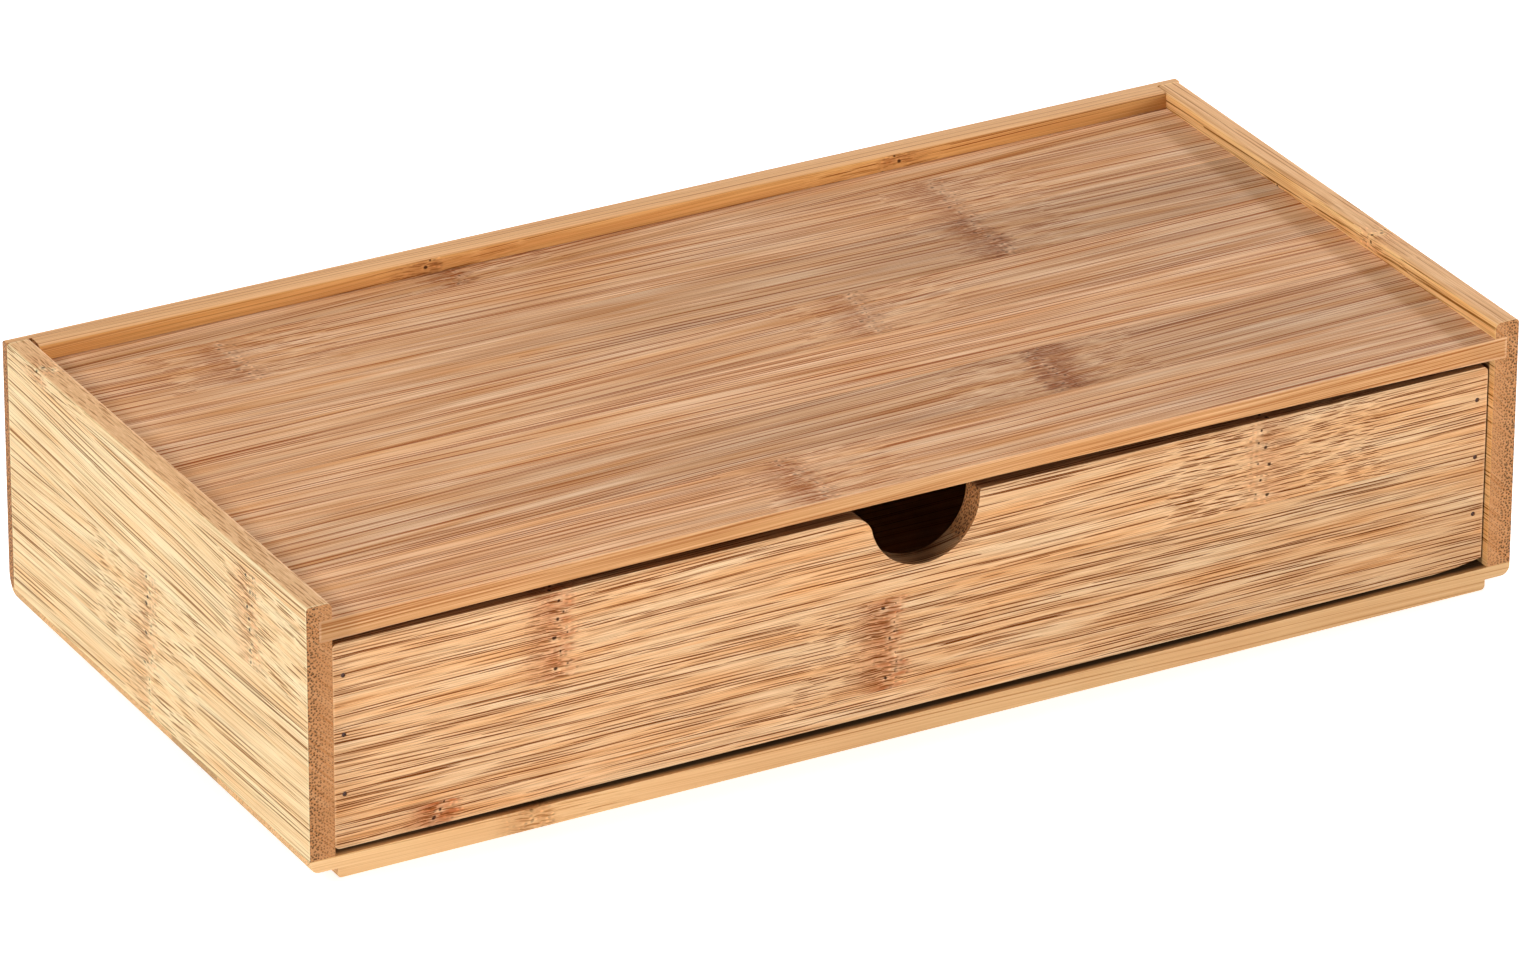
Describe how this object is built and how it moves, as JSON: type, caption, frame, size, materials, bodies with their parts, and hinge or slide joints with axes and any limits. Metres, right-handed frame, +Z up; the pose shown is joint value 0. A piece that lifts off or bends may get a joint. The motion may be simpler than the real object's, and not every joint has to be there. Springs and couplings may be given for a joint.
{
  "type": "desk organizer",
  "caption": "Low bamboo desk organizer: an open-fronted tray top with a raised lip over a full-width drawer with a half-round finger notch, on a plinth that nests in the lip of another.",
  "frame": {"origin": "centre of the footprint, on the surface that the plinth stands on", "axes": "+X along the width to the right as seen from the drawer side, -Y out of the drawer side, +Z up"},
  "size_m": [0.35, 0.174, 0.0765],
  "materials": {
    "bamboo_base": "clear satin lacquer",
    "bamboo_side": "clear satin lacquer",
    "bamboo_back": "clear satin lacquer",
    "bamboo_top": "clear satin lacquer",
    "bamboo_drawer_front": "clear satin lacquer",
    "bamboo_drawer_box": "clear satin lacquer",
    "bamboo_drawer_floor": "clear satin lacquer",
    "brad_steel": "plain wire"
  },
  "bodies": {
    "case": {"base_panel": "bamboo_base", "left_side_panel": "bamboo_side", "right_side_panel": "bamboo_side", "back_panel": "bamboo_back", "top_panel": "bamboo_top"},
    "drawer": {"drawer_front": "bamboo_drawer_front", "drawer_side_left": "bamboo_drawer_box", "drawer_side_right": "bamboo_drawer_box", "drawer_back": "bamboo_drawer_box", "drawer_floor": "bamboo_drawer_floor", "drawer_brads": "brad_steel"}
  },
  "joints": [
    {"name": "drawer_slide", "type": "slide", "parent": "case", "child": "drawer", "axis": [0, -1, 0], "range_m": [0, 0.14]}
  ]
}
